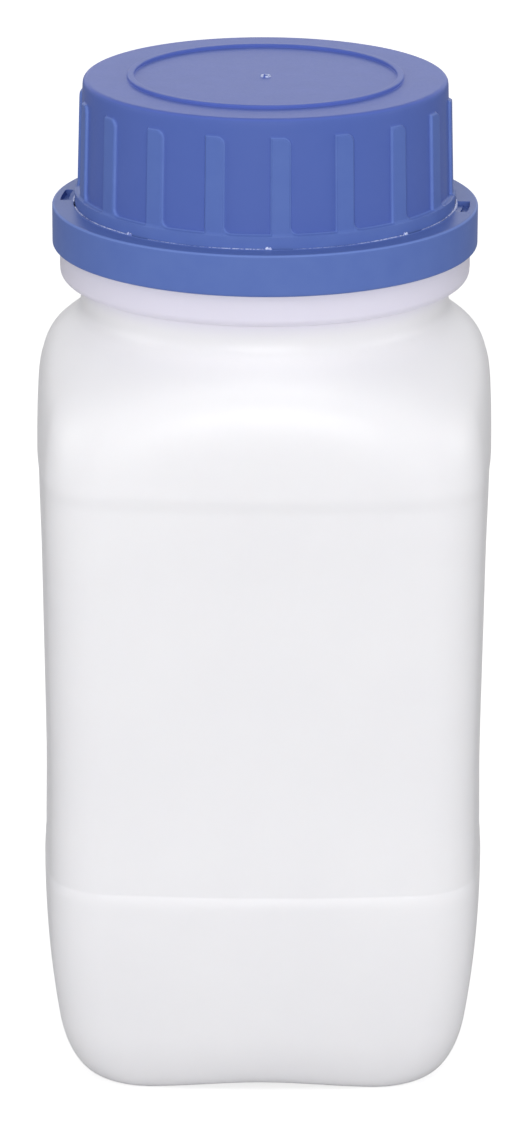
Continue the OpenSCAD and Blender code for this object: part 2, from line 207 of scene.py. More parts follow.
class BOTTLE_PG_ring(bpy.types.PropertyGroup):
    """Sizes of the tamper ring, its pockets and its bridges."""

    wall: length("Ring wall", "Thickness of the ring", 1.3)
    ledge: length("Ledge", "Thickness of the ring's ledge", 1.5)
    ledge_radius: length("Ledge radius", "Inner radius of the ledge", 36.7)
    edge_round: length("Ring round", "Rounding of the ring's outer edges", 0.5)
    bead_reach: length("Retaining bead", "How far the retaining bead stands inwards", 0.75)
    bead_height: length("Retaining bead height", "Height of the retaining bead", 1.4)
    pocket_angle: turned_by("Pocket angle", "Angle that each ratchet pocket covers", 12)
    pocket_width: length("Pocket width", "Width of each ratchet pocket", 1.4)
    pocket_inset: length("Pocket inset", "Distance of the pockets from the ledge's edge", 1.1)
    pocket_floor: length("Pocket floor", "Thickness of the ledge under a pocket", 0.4)
    ramp_depth: length("Ramp depth", "Depth of the ramp beside each pocket", 0.8)
    pocket_count: how_many("Pockets", "Number of ratchet pockets", 2, 2, 4)
    bridge_count: how_many("Bridges", "Number of bridges to the cap", 8, 6, 12)
    bridge_turn: turned_by("Bridge turn", "Angle of the bridge nearest the front", 1)
    bridge_width: length("Bridge width", "Width of each bridge at the ring", 1.1)


class BOTTLE_PG_finish(bpy.types.PropertyGroup):
    """Colours and gloss of the plastics."""

    natural: paint("Natural plastic", "Colour of the blown bottle", "#F2F1F4")
    natural_thin: paint("Thin natural plastic", "Its colour where the wall is thin", "#ECEBEF")
    # Colour at the thick neck and collar: milkier plastic, darkened and tinted lilac by painted
    # shade under the ring and painted blue light bounced from it.
    natural_thick: paint("Thick natural plastic", "Its colour at the thick neck, with painted shade and bounce", "#DFDCEB")
    thick_shade_from: length("Thick wall level", "Level above which the wall is thick", 156.5)
    thick_shade_fade: length("Thick wall fade", "Height over which the wall thickens", 5)
    blue: paint("Blue plastic", "Colour of the cap's top", "#5A6DBD")
    blue_deep: paint("Deep blue plastic", "Its colour along the flow lines", "#4B61A9")
    # The next four colours paint light and shade on the blue plastic: shade between the ribs, light
    # on the ribs, the rim and the ring, and highlights along edges.
    blue_hollow: paint("Blue plastic between ribs", "Its colour between the ribs", "#5367AD")
    blue_rib: paint("Blue plastic on ribs", "Its colour on the ribs, painted lighter", "#5A71B2")
    blue_band: paint("Blue plastic on the rim", "Its colour on the rim and ring, painted lighter", "#5E75B5")
    blue_edge: paint("Blue plastic at edges", "Its colour along the ribs' edges", "#6A82C4")
    torn: paint("Pale patches on the blue plastic", "Colour of the blue plastic's pale patches", "#C9D3F0")
    foam: paint("Foam", "Colour of the liner", "#F6F5F0")
    floor: paint("Floor", "Colour of the floor", "#C4C4C4")
    natural_gloss: share_of("Natural roughness", "Roughness of the blown bottle", 0.38)
    blue_gloss: share_of("Blue roughness", "Roughness of the cap and the ring", 0.36)


class BOTTLE_PG_studio(bpy.types.PropertyGroup):
    """Light and camera."""

    sky: number("Sky", "Strength of the light all round", 0.37)
    front: power("Front light", "Power of the broad front light", 32.2)
    top: power("Top light", "Power of the light from above", 8.2)
    back: power("Back light", "Power of the light from behind", 4.2)
    side: power("Side lights", "Power of each side light", 7.4)
    glow: number("Floor glow", "How far the floor is lifted to white in the picture", 0.71)
    lens: number("Lens", "Focal length", 170.24, subtype="DISTANCE_CAMERA")
    camera_x: length("Camera shift", "How far right of the middle the camera is", 0.233)
    camera_y: length("Camera distance", "How far in front the camera is", 988.45)
    camera_z: length("Camera height", "Height of the camera", 424.4)
    pitch: turned_by("Camera tilt", "How far the camera looks down", 18.33)
    roll: turned_by("Camera roll", "How far the camera leans", 0.21)


class BOTTLE_PG_all(bpy.types.PropertyGroup):
    """Everything that the user may change."""

    wall: PointerProperty(type=BOTTLE_PG_wall)
    neck: PointerProperty(type=BOTTLE_PG_neck)
    cap: PointerProperty(type=BOTTLE_PG_cap)
    ring: PointerProperty(type=BOTTLE_PG_ring)
    finish: PointerProperty(type=BOTTLE_PG_finish)
    studio: PointerProperty(type=BOTTLE_PG_studio)


# What each point of the flat skin holds beside its angle, level and inset: the share of the base
# that it stands on, its radius where its row is turned, and its share of the parting line.
ROW_FACTS = ("share", "radius", "seam")
# A point whose share of the base is less than this lies on the base.
WHOLE_BASE = 0.999
# A value mapped from one range to another, slowly at both ends.
EASE = {"kind": "ShaderNodeMapRange", "interpolation_type": "SMOOTHSTEP"}


class Value:
    """A value in a node tree, which stands in sums as a plain number does."""

    def __init__(self, tree, socket):
        self.tree, self.socket = tree, socket

    def by(self, kind, *others):
        """What a node makes of this value and others."""
        return add(self.tree, kind, [self, *others])

    def out(self, key):
        """Another output of the node that this value comes from."""
        return Value(self.tree, self.socket.node.outputs[key])

    __add__ = __radd__ = lambda self, other: self.by("ADD", other)
    __mul__ = __rmul__ = lambda self, other: self.by("MULTIPLY", other)
    __sub__ = lambda self, other: self.by("SUBTRACT", other)
    __rsub__ = lambda self, other: add(self.tree, "SUBTRACT", [other, self])
    __truediv__ = lambda self, other: self.by("DIVIDE", other)
    __rtruediv__ = lambda self, other: add(self.tree, "DIVIDE", [other, self])
    __mod__ = lambda self, other: self.by("FLOORED_MODULO", other)
    __pow__ = lambda self, other: self.by("POWER", other)
    __abs__ = lambda self: self.by("ABSOLUTE")


def add(tree, kind, links=(), output=0, **settings):
    """Adds a node with its settings, and gives one of its outputs.

    Its inputs are linked or set in their order, or by their names from a dictionary. A kind in
    capitals is an operation of a Math node.
    """
    if kind.isupper():
        kind, settings = "ShaderNodeMath", {**settings, "operation": kind}
    node = tree.nodes.new(kind)
    place = len(tree.nodes)
    node.location = (200 * (place % 16), -240 * (place // 16))
    for key, value in settings.items():
        setattr(node, key, value)
    for key, value in (links if isinstance(links, dict) else dict(enumerate(links))).items():
        socket = node.inputs[key]
        if isinstance(value, Value):
            tree.links.new(value.socket, socket)
        elif socket.type == "RGBA":
            socket.default_value = (*value[:3], 1)
        else:
            socket.default_value = value
    return Value(tree, node.outputs[output]) if node.outputs else None


def sizes_of(group):
    """The identifiers and names of a property group's own sizes."""
    kept = [p for p in group.bl_rna.properties if p.identifier not in ("rna_type", "name")]
    return {p.identifier: p.name for p in kept}


def new_tree(name, sizes, counts=()):
    """A node tree that shapes geometry, and its inputs: sizes, counts and a material."""
    tree = bpy.data.node_groups.new(name, "GeometryNodeTree")
    tree.is_modifier = True
    kinds = {"Geometry": "Geometry", **dict.fromkeys(counts, "Int")}
    kinds.update(dict.fromkeys(sizes, "Float"), Material="Material")
    for label, kind in kinds.items():
        tree.interface.new_socket(label, in_out="INPUT", socket_type="NodeSocket" + kind)
    tree.interface.new_socket("Geometry", in_out="OUTPUT", socket_type="NodeSocketGeometry")
    start = add(tree, "NodeGroupInput")
    return tree, {label: start.out(label) for label in kinds}


def close_tree(tree, inputs, geometry):
    """Ends a tree with its instances made real and its material set."""
    real = add(tree, "GeometryNodeRealizeInstances", [geometry])
    links = {"Geometry": real, "Material": inputs["Material"]}
    add(tree, "NodeGroupOutput", [add(tree, "GeometryNodeSetMaterial", links)])
    return tree


def shown(name, data):
    """A new object in the scene."""
    made = bpy.data.objects.new(name, data)
    bpy.context.scene.collection.objects.link(made)
    return made


def grown(mesh, tree, values):
    """The plain mesh that a tree makes of a mesh."""
    source = shown("source", mesh)
    modifier = source.modifiers.new("Shape", "NODES")
    modifier.node_group = tree
    for item in tree.interface.items_tree:
        if item.in_out == "INPUT" and item.name in values:
            modifier[item.identifier] = values[item.name]
    graph = bpy.context.evaluated_depsgraph_get()
    made = bpy.data.meshes.new_from_object(source.evaluated_get(graph), depsgraph=graph)
    source.modifiers.remove(modifier)
    bpy.data.objects.remove(source)
    return made


def mesh_of(name, points, faces):
    """A mesh from its points, in metres, and its faces."""
    mesh = bpy.data.meshes.new(name)
    mesh.from_pydata(points, [], faces)
    mesh.update()
    return mesh


def finished(name, mesh, material, sharp):
    """A closed mesh that faces outwards, smooth but for edges sharper than an angle in degrees."""
    whole = bmesh.new()
    whole.from_mesh(mesh)
    bmesh.ops.remove_doubles(whole, verts=whole.verts, dist=0.001 * MM)
    if whole.calc_volume(signed=True) < 0:
        bmesh.ops.reverse_faces(whole, faces=whole.faces)
    for face in whole.faces:
        face.material_index = 0
    made = bpy.data.meshes.new(name)
    whole.to_mesh(made)
    whole.free()
    for fact in ROW_FACTS:
        if fact in made.attributes:
            made.attributes.remove(made.attributes[fact])
    made.materials.clear()
    made.materials.append(material)
    made.shade_smooth()
    made.set_sharp_from_angle(angle=math.radians(sharp))
    return made


def place(name, mesh, body, node, slot):
    """A finished piece that rides on a body and stands for a node. Its slot is not used."""
    piece = shown(name, mesh)
    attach(piece, body)
    if node:
        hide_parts(node)
    return piece


def arc(centre, radius, start, end, steps):
    """Points of an arc in a section, between two angles in degrees."""
    turns = [math.radians(start + (end - start) * i / steps) for i in range(steps + 1)]
    return [(centre[0] + radius * math.cos(t), centre[1] + radius * math.sin(t)) for t in turns]


def spaced(start, end, steps):
    """Evenly spaced values from start to end."""
    return [start + (end - start) * i / steps for i in range(steps + 1)]


def around(radius, angle, level):
    """A point from its radius, angle and level."""
    return (radius * math.cos(angle), radius * math.sin(angle), level)


def grid_faces(rows, columns, first=0, looped=False):
    """Faces over rows of points that close round, and that join end to end when looped."""
    faces = []
    for i in range(rows if looped else rows - 1):
        low, high = first + i * columns, first + (i + 1) % rows * columns
        for j in range(columns):
            k = (j + 1) % columns
            faces.append((low + j, low + k, high + k, high + j))
    return faces


def closed_skin(rows, columns, at):
    """A closed skin of full rings, with a pole at each end. at(row, column) gives a point."""
    count, rings = len(columns), rows[1:-1]
    points = [at(rows[0], columns[0])]
    points += [at(row, column) for row in rings for column in columns]
    points.append(at(rows[-1], columns[0]))
    end = len(points) - 1
    faces = grid_faces(len(rings), count, 1)
    for j in range(count):
        k = (j + 1) % count
        faces += [(0, 1 + k, 1 + j), (end, end - count + j, end - count + k)]
    return points, faces


def wall_columns():
    """Angles round the body: closer at the corners, and close beside the parting line."""
    beside_seam, first, turn_in = [0.0018, 0.0036, 0.0057, 0.009], 0.02, math.radians(36)
    octant = spaced(first, turn_in, 14) + spaced(turn_in, EIGHTH, 11)[1:]
    half = octant + [QUARTER - t for t in reversed(octant[:-1])]
    columns = []
    for q in range(4):
        # The parting line runs along the X axis, so each quarter has it on one side.
        before, after = (beside_seam, []) if q % 2 == 0 else ([], beside_seam)
        columns += [q * QUARTER + t for t in [0, *before, *half]]
        columns += [(q + 1) * QUARTER - t for t in reversed(after)]
    return columns


def wall_levels(wall, top):
    """Levels of the body's skin, closer at the foot, at the panel's edges and at the shoulder."""
    panel, panel_top = wall.panel_bottom, wall.panel_bottom + wall.panel_height
    swell, upper_end = panel - wall.lower_step, panel_top - wall.upper_step
    shoulder, foot_steps, dome_steps = panel_top + 3 * MM, 22, 46
    foot = [1 - math.cos(QUARTER * i / foot_steps) for i in range(foot_steps + 1)]
    dome = [math.sin(QUARTER * i / dome_steps) for i in range(dome_steps)]
    return [
        *[wall.foot_height * f for f in foot],
        *spaced(wall.foot_height, swell - 1 * MM, 14)[1:],
        *spaced(swell, panel, 9),
        panel + 0.15 * MM,
        *spaced(panel + 1 * MM, upper_end - 1 * MM, 16),
        upper_end - 0.3 * MM,
        *spaced(upper_end, panel_top, 10),
        panel_top + 0.3 * MM,
        panel_top + 1.2 * MM,
        *[shoulder + (top - shoulder) * d for d in dome],
    ]


def neck_levels(neck):
    """Levels of the collar's underside and of its top."""
    return LIP - neck.neck_height - neck.collar_height, LIP - neck.neck_height


def bottle_rows(wall, neck):
    """Rows of the bottle's skin from the base's middle, over the lip, to the inside of the base.

    Each row is its level and its inset, and then its ROW_FACTS.
    """
    body_top, collar_top = neck_levels(neck)
    collar, inset, lip = neck.collar_radius, wall.wall, neck.lip_round
    waist = collar - neck.collar_overhang
    mouth = neck.neck_radius - neck.neck_wall
    hollow = collar - neck.groove_depth - neck.collar_wall
    groove = RING_LOW + neck.groove_rise
    half, deep, turn = neck.groove_height / 2, neck.groove_depth, neck.collar_round
    bevel, fillet, root, inner_turn = 0.6 * MM, 0.5 * MM, 1.5 * MM, 0.6 * MM
    shares = [s / 12 * (1 - wall.pad_share) for s in range(1, 13)]
    rim = 1 - wall.pad_share / 2
    rows = [(0, 0, s, 0, 1) for s in [0, *shares, rim]]
    rows += [(z, 0, 1, 0, 1) for z in wall_levels(wall, body_top - fillet)]
    outside = (
        arc((waist + fillet, body_top - fillet), fillet, 180, 90, 5)
        + arc((collar - turn, body_top + turn), turn, -90, 0, 10)
        + [(collar, groove - half), (collar - deep, groove - half + deep / 2)]
        + [(collar - deep, groove + half - deep / 2), (collar, groove + half)]
        + [(collar, collar_top - bevel - 0.2 * MM)]
        + arc((collar - bevel, collar_top - bevel), bevel, 0, 90, 5)
        + arc((neck.neck_radius + root, collar_top + root), root, 270, 180, 8)
        + arc((neck.neck_radius - lip, LIP - lip), lip, 0, 90, 7)
    )
    inside = (
        arc((mouth + lip, LIP - lip), lip, 90, 180, 7)
        + arc((mouth + inner_turn, collar_top - 1 * MM), inner_turn, 180, 270, 4)
        + arc((hollow - turn, collar_top - neck.collar_wall - turn), turn, 90, 0, 8)
        + arc((hollow - turn, body_top + neck.collar_wall + turn), turn, 0, -90, 8)
        + arc((waist - inset + fillet, body_top + neck.collar_wall - fillet), fillet, 90, 180, 4)
    )
    rows += [(z, 0, 1, r, int(z < LIP - neck.seam_end)) for r, z in outside]
    rows += [(z, 0, 1, r, 0) for r, z in inside]
    inner = wall_levels(wall, body_top - fillet)[::-2]
    rows += [(z + inset * (z < wall.foot_height), inset, 1, 0, 0) for z in inner if z > inset]
    rows += [(inset, inset, s, 0, 0) for s in [1, rim, *reversed(shares[1::2]), 0]]
    return rows


def wall_tree(wall):
    """The node tree that wraps the flat skin into the bottle, by the rule of the blown body."""
    labels = {**sizes_of(wall), "waist": "Waist radius", "dome_centre": "Dome centre"}
    tree, inputs = new_tree("Bottle wall", labels.values())
    put = partial(add, tree)
    size = SimpleNamespace(**{key: inputs[label] for key, label in labels.items()})
    flat = put("ShaderNodeSeparateXYZ", [put("GeometryNodeInputPosition")])
    angle, level, inset = (flat.out(key) for key in "XYZ")
    share, radius, seam = (
        put("GeometryNodeInputNamedAttribute", {"Name": fact}, "Attribute", data_type="FLOAT")
        for fact in ROW_FACTS
    )
    # Angle from the middle of the nearest face.
    face = abs((angle + EIGHTH) % QUARTER - EIGHTH)
    # Half width at the level: it widens to the shoulder, and the panel lies sunk.
    panel, panel_top = size.panel_bottom, size.panel_bottom + size.panel_height
    links = [level, panel, panel_top, size.foot_width * 0.5, size.shoulder_width * 0.5]
    half = put(**EASE, links=links)
    above = (level - (panel - size.lower_step)).by("MAXIMUM", 0)
    swell = above.by("MINIMUM", size.lower_step) / size.lower_step
    sunk_above = put(**EASE, links=[level, panel_top - size.upper_step, panel_top, 1, 0])
    sunk = swell * swell * size.panel_recess * sunk_above
    hollow_above = put(**EASE, links=[level, panel_top - size.hollow_fade, panel_top, 1, 0])
    links = [level, panel, panel + size.hollow_fade, 0, size.panel_hollow]
    hollow = put(**EASE, links=links) * hollow_above
    # The faces lean in at the foot, and the base is rounded.
    lean_in = (1 - level / size.lean_height).by("MAXIMUM", 0) ** size.lean_power * size.lean
    skin_level = level - inset
    foot = (1 - skin_level / size.foot_height).by("MAXIMUM", 0)
    foot_in = (1 - (1 - foot * foot).by("SQRT")) * size.foot_draw
    width = half - (sunk + hollow) - lean_in - foot_in - inset
    # The crowned face, and the corner's arc that it meets.
    corner = size.corner_radius - inset
    crown_centre = width - size.crown_radius
    spread = size.crown_radius - corner
    root = (spread * spread * 2 - crown_centre * crown_centre).by("SQRT")
    centre = (crown_centre + root) * 0.5
    grow = size.crown_radius / spread
    meet = (centre * grow).by("ARCTAN2", crown_centre + (centre - crown_centre) * grow)
    across = crown_centre * face.by("SINE")
    crown_root = (size.crown_radius * size.crown_radius - across * across).by("SQRT")
    crown_reach = crown_centre * face.by("COSINE") + crown_root
    diagonal, from_corner = centre * math.sqrt(2), EIGHTH - face
    beside = diagonal * from_corner.by("SINE")
    corner_root = (corner * corner - beside * beside).by("MAXIMUM", 0).by("SQRT")
    corner_reach = diagonal * from_corner.by("COSINE") + corner_root
    past_meet = face.by("GREATER_THAN", meet)
    flat_reach = (corner_reach - crown_reach).by("MULTIPLY_ADD", past_meet, crown_reach)
    # The shoulder's dome, blended with the faces and then with the waist.
    up, dome = (level - size.dome_centre).by("MAXIMUM", 0), size.dome_radius - inset
    dome_reach = (dome * dome - up * up).by("MAXIMUM", 0).by("SQRT") + size.dome_offset
    dome_sum = (flat_reach / dome_reach) ** size.face_blend + 1
    shoulder = flat_reach * dome_sum ** (-1 / size.face_blend)
    waist = put(**EASE, links=[level, panel, panel_top, 0, size.waist - inset])
    waist_sum = (waist / shoulder) ** size.waist_blend + 1
    lofted = shoulder * waist_sum ** (1 / size.waist_blend) * share
    # Turned rows, such as the collar and the neck, keep the radius that they are given.
    reach = (radius - lofted).by("MULTIPLY_ADD", radius.by("GREATER_THAN", 0), lofted)
    # The arch under each face, and the rise of the base inside the pads.
    bow = (face * 2).by("COSINE")
    bow_share = (bow * bow - size.pad_bow).by("MAXIMUM", 0) / (1 - size.pad_bow)
    arch_rise = put(**EASE, links=[skin_level, 0, size.arch_fade, size.arch, 0]) * bow_share * share
    inside_pads = share / (1 - size.pad_share)
    base_rise = (1 - inside_pads * inside_pads).by("MAXIMUM", 0) * size.push_up
    height = level + arch_rise + base_rise
    # The parting line stands out of the sides, and down from the base.
    side = angle.by("SINE")
    from_seam = abs(reach * side)
    seam_rise = put(**EASE, links=[from_seam, 0, size.seam_width * 0.5, size.seam_height * seam, 0])
    seam_down = seam_rise * share.by("LESS_THAN", WHOLE_BASE)
    out = reach + (seam_rise - seam_down)
    point = put("ShaderNodeCombineXYZ", [out * angle.by("COSINE"), out * side, height - seam_down])
    links = {"Geometry": inputs["Geometry"], "Position": point}
    return close_tree(tree, inputs, put("GeometryNodeSetPosition", links))


def thread_tree():
    """The node tree that sweeps a thread's section along a helix, run out at both ends."""
    labels = ("Root radius", "Lead", "Turns", "Start", "Turn", "Depth", "Sink")
    labels += ("Root width", "Crest width", "Side", "Run-out")
    tree, inputs = new_tree("Screw thread", labels)
    put = partial(add, tree)
    radius, lead, turns, start, turn, depth, sink, root, crest, side, run_out = (
        inputs[label] for label in labels
    )
    links = {"Resolution": 96, "Rotations": turns, "Height": lead * turns, "Reverse": True}
    links.update({"Start Radius": radius, "End Radius": radius})
    helix = put("GeometryNodeCurveSpiral", links)
    upright = put("GeometryNodeSetCurveNormal", {"Curve": helix}, mode="Z_UP")
    along, least = put("GeometryNodeSplineParameter", output="Factor"), 0.02
    ends = [
        put(**EASE, links=[way, 0, run_out, least, 1])
        for way in (along, 1 - along)
    ]
    links = {"Curve": upright, "Radius": ends[0].by("MINIMUM", ends[1])}
    tapered = put("GeometryNodeSetCurveRadius", links)
    whole = depth + sink
    links = {"Bottom Width": root, "Top Width": crest, "Height": whole, "Offset": 0}
    section = put("GeometryNodeCurvePrimitiveQuadrilateral", links, mode="TRAPEZOID")
    links = {"Curve": section, "Count": 4, "Radius": 0.25 * MM}
    rounded = put("GeometryNodeFilletCurve", links, mode="POLY")
    links = {
        "Geometry": rounded,
        "Rotation": put("ShaderNodeCombineXYZ", {"Z": side * -QUARTER}),
        "Translation": put("ShaderNodeCombineXYZ", {"X": (whole * 0.5 - sink) * side}),
    }
    profile = put("GeometryNodeTransform", links)
    links = {"Curve": tapered, "Profile Curve": profile, "Fill Caps": True}
    links = {
        "Geometry": put("GeometryNodeCurveToMesh", links),
        "Translation": put("ShaderNodeCombineXYZ", {"Z": start}),
        "Rotation": put("ShaderNodeCombineXYZ", {"Z": turn}),
    }
    return close_tree(tree, inputs, put("GeometryNodeTransform", links))


def repeat_tree():
    """The node tree that repeats one item round the axis and welds the copies where they meet."""
    tree, inputs = new_tree("Round the axis", ("Turn", "Weld"), ("Count",))
    put = partial(add, tree)
    spots = put("GeometryNodePoints", {"Count": inputs["Count"]})
    step = FULL / inputs["Count"]
    angle = put("GeometryNodeInputIndex").by("MULTIPLY_ADD", step, inputs["Turn"])
    euler = put("ShaderNodeCombineXYZ", {"Z": angle})
    links = {"Points": spots, "Instance": inputs["Geometry"]}
    links["Rotation"] = put("FunctionNodeEulerToRotation", [euler])
    real = put("GeometryNodeRealizeInstances", [put("GeometryNodeInstanceOnPoints", links)])
    links = {"Geometry": real, "Distance": inputs["Weld"]}
    return close_tree(tree, inputs, put("GeometryNodeMergeByDistance", links))


def repeated(item, count, turn, weld, material):
    """One item repeated round the axis, as a plain mesh."""
    tree = bpy.data.node_groups.get("Round the axis") or repeat_tree()
    values = {"Count": count, "Turn": turn, "Weld": weld, "Material": material}
    return grown(item, tree, values)


def thread(neck, radius, side, start, turns, material):
    """One thread as a plain mesh: side is 1 on the neck and -1 in the cap."""
    tree = bpy.data.node_groups.get("Screw thread") or thread_tree()
    values = {
        "Root radius": radius,
        "Lead": neck.lead,
        "Turns": turns,
        "Start": start,
        "Turn": FRONT,
        "Depth": neck.thread_depth,
        "Sink": 0.3 * MM,
        "Root width": neck.thread_root,
        "Crest width": neck.thread_crest,
        "Side": side,
        "Run-out": 0.12,
        "Material": material,
    }
    return grown(mesh_of("thread", [(0, 0, 0)], []), tree, values)


def emptied(owner):
    """A way to add nodes to a material or a world, once its own are gone."""
    owner.use_nodes = True
    owner.node_tree.nodes.clear()
    return partial(add, owner.node_tree)


def natural_hdpe(put, spot, sizes):
    """Natural HDPE, blow moulded in a blasted mould.

    The blasting leaves a fine satin grain, and cooling leaves soft waves about 15 mm long. The
    wall's thickness wanders, so the milky colour does too. The neck and its collar are thick and
    milkier, and their colour also holds painted shade under the ring and a painted blue tint for
    the light that the ring bounces onto them. Light goes a few millimetres in.
    """
    finish = sizes.finish
    thin = put("ShaderNodeTexNoise", {"Vector": spot, "Scale": 1 / (26 * MM), "Detail": 2})
    links = {0: thin, 6: finish.natural, 7: finish.natural_thin}
    wall = put("ShaderNodeMix", links, 2, data_type="RGBA")
    # From the collar up, the colour takes painted shade and painted blue bounce from the ring, over
    # the milkier thick plastic.
    level = put("ShaderNodeSeparateXYZ", [spot], "Z")
    thick = put(**EASE, links=[level, finish.thick_shade_from - finish.thick_shade_fade, finish.thick_shade_from])
    links = {0: thick, 6: wall, 7: finish.natural_thick}
    shade = put("ShaderNodeMix", links, 2, data_type="RGBA")
    # The real grit is finer than the eye can part.
    grain = put("ShaderNodeTexNoise", {"Vector": spot, "Scale": 1 / (0.7 * MM), "Detail": 3})
    waves = put("ShaderNodeTexNoise", {"Vector": spot, "Scale": 1 / (15 * MM), "Detail": 1})
    return {
        "Base Color": shade,
        "Roughness": grain * GLOSS_SPREAD + (finish.natural_gloss - GLOSS_SPREAD / 2),
        "Relief": [(waves, 0.05 * MM), (grain, 0.006 * MM)],
        "IOR": 1.54,
        "Specular IOR Level": 0.4,
        "Subsurface Weight": 0.3,
        "Subsurface Radius": (1, 0.95, 0.9),
        "Subsurface Scale": 3 * MM,
    }


def blue_pp(put, spot, sizes):
    """Blue polypropylene, injection moulded in a finely eroded mould.

    The mould gives an even satin, and the colour flows in faint streaks a few millimetres wide.
    Light and shade are painted in by how far a place stands out: darker between the ribs as painted
    shade, lighter on the ribs, the rim and the ring as painted light, and paler along the ribs'
    edges and the ring's upper edge as painted highlights.
    """
    finish = sizes.finish
    flat = put("ShaderNodeSeparateXYZ", [spot])
    away = (flat * flat + flat.out("Y") * flat.out("Y")).by("SQRT")
    level = flat.out("Z")
    # Painted light and shade by how far a place stands out: painted shade between the ribs, painted
    # light on the ribs, the rim and the ring, and painted highlights on the ribs' edges.
    lit_and_shaded_tones = (
        (0.0, finish.blue),
        (0.14, finish.blue_hollow),
        (0.28, finish.blue_hollow),
        (0.43, finish.blue_edge),
        (0.56, finish.blue_edge),
        (0.68, finish.blue_rib),
        (0.74, finish.blue_rib),
        (0.95, finish.blue_band),
    )
    tone = put("ShaderNodeValToRGB", [skirt_raise(put, sizes.cap, away, level)])
    stops = tone.socket.node.color_ramp.elements
    stops[1].position = lit_and_shaded_tones[-1][0]
    for position, _ in lit_and_shaded_tones[1:-1]:
        stops.new(position)
    for stop, (_, colour) in zip(stops, lit_and_shaded_tones):
        stop.color = (*colour, 1)
    flow = put("ShaderNodeTexNoise", {"Vector": spot, "Scale": 1 / (5 * MM), "Detail": 3})
    patches = put("ShaderNodeTexNoise", {"Vector": spot, "Scale": 1 / (0.8 * MM), "Detail": 1})
    # The middle of the cap's top, where the gate was broken off, is pale in patches.
    gate_edge = sizes.cap.gate_radius
    gate = put("ShaderNodeMapRange", [away, gate_edge + 0.1 * MM, gate_edge])
    torn = gate * put("ShaderNodeMapRange", [patches, 0.4, 0.55])
    shade = tone
    # Over the ramp go the flow's deep streaks, a painted highlight along the ring's upper edge, and
    # pale patches at the gate.
    for share, colour in (
        (flow * 0.45, finish.blue_deep),
        (ring_edge_highlight(put, away, level), finish.blue_edge),
        (torn, finish.torn),
    ):
        shade = put("ShaderNodeMix", {0: share, 6: shade, 7: colour}, 2, data_type="RGBA")
    # The eroded grain is drawn about twice as coarse as it is.
    grain = put("ShaderNodeTexNoise", {"Vector": spot, "Scale": 1 / (0.5 * MM), "Detail": 2})
    waves = put("ShaderNodeTexNoise", {"Vector": spot, "Scale": 1 / (9 * MM), "Detail": 1})
    return {
        "Base Color": shade,
        "Roughness": grain * GLOSS_SPREAD + (finish.blue_gloss - GLOSS_SPREAD / 2),
        "Relief": [(waves, 0.02 * MM), (grain, 0.006 * MM)],
        "IOR": 1.49,
        "Specular IOR Level": 0.06,
    }


def skirt_raise(put, cap, away, level):
    """How far out of the skirt a place stands: 0.24 on its face, 0.71 on a rib, 1 on the rim."""
    foot = CAP_RADIUS - cap.band_margin - cap.rib_raise
    top = CAP_HIGH - cap.bead_height
    slope = cap.skirt_draft / (top - RING_TOP - cap.band_height)
    plain = foot - cap.skirt_draft + slope * top
    reach = level.by("MULTIPLY_ADD", slope, away)
    ends = [reach, plain - cap.rib_raise / 2, plain + cap.rib_raise + cap.band_margin]
    return put("ShaderNodeMapRange", ends)


def ring_edge_highlight(put, away, level):
    """How near a place is to the ring's upper outer edge, where a highlight is painted."""
    corner = RING_RADIUS + RING_TOP
    near = put("ShaderNodeMapRange", [away + level, corner - 0.42 * MM, corner - 0.32 * MM])
    return near * away.by("GREATER_THAN", CAP_RADIUS + 1 * MM)


def patched_pp(put, spot, sizes):
    """Blue polypropylene, pale in patches."""
    patches = put("ShaderNodeTexNoise", {"Vector": spot, "Scale": 1 / (0.5 * MM), "Detail": 1})
    whitened = put("ShaderNodeMapRange", [patches, 0.35, 0.6])
    links = {0: whitened, 6: sizes.finish.blue, 7: sizes.finish.torn}
    rips = put("ShaderNodeTexNoise", {"Vector": spot, "Scale": 1 / (0.2 * MM), "Detail": 1})
    return {
        "Base Color": put("ShaderNodeMix", links, 2, data_type="RGBA"),
        "Relief": [(rips, 0.02 * MM)],
        "Roughness": 0.5,
        "IOR": 1.49,
    }


def liner_foam(put, spot, sizes):
    """Foamed polyethylene, cut from sheet: closed cells under a thin skin, and no gloss."""
    # The cells are about half a millimetre wide, and darker in their hollows.
    links = {"Vector": spot, "Scale": 1 / (0.6 * MM)}
    cells = put("ShaderNodeTexVoronoi", links, "Distance")
    foam = sizes.finish.foam
    links = {0: cells, 6: [c * 0.93 for c in foam], 7: foam}
    return {
        "Base Color": put("ShaderNodeMix", links, 2, data_type="RGBA"),
        "Roughness": put("ShaderNodeMapRange", {0: cells, 3: 0.6, 4: 0.75}),
        "Relief": [(cells, 0.03 * MM)],
    }


MATERIALS = {
    "Natural HDPE, blow moulded": natural_hdpe,
    "Blue PP, injection moulded": blue_pp,
    "Blue PP, pale in patches": patched_pp,
    "Polyethylene foam, die cut": liner_foam,
}


def material_for(name, sizes):
    """The material of a name, made once."""
    made = bpy.data.materials.get(name)
    if made is None:
        made = bpy.data.materials.new(name)
        put = emptied(made)
        spot = put("ShaderNodeTexCoord", output="Object")
        look, bump = MATERIALS[name](put, spot, sizes), {"Strength": 1}
        # Its relief is one bump over another, each from its height and its depth.
        for bump["Height"], bump["Distance"] in look.pop("Relief"):
            bump["Normal"] = look["Normal"] = put("ShaderNodeBump", bump)
        put("ShaderNodeOutputMaterial", [put("ShaderNodeBsdfPrincipled", look)])
    return made


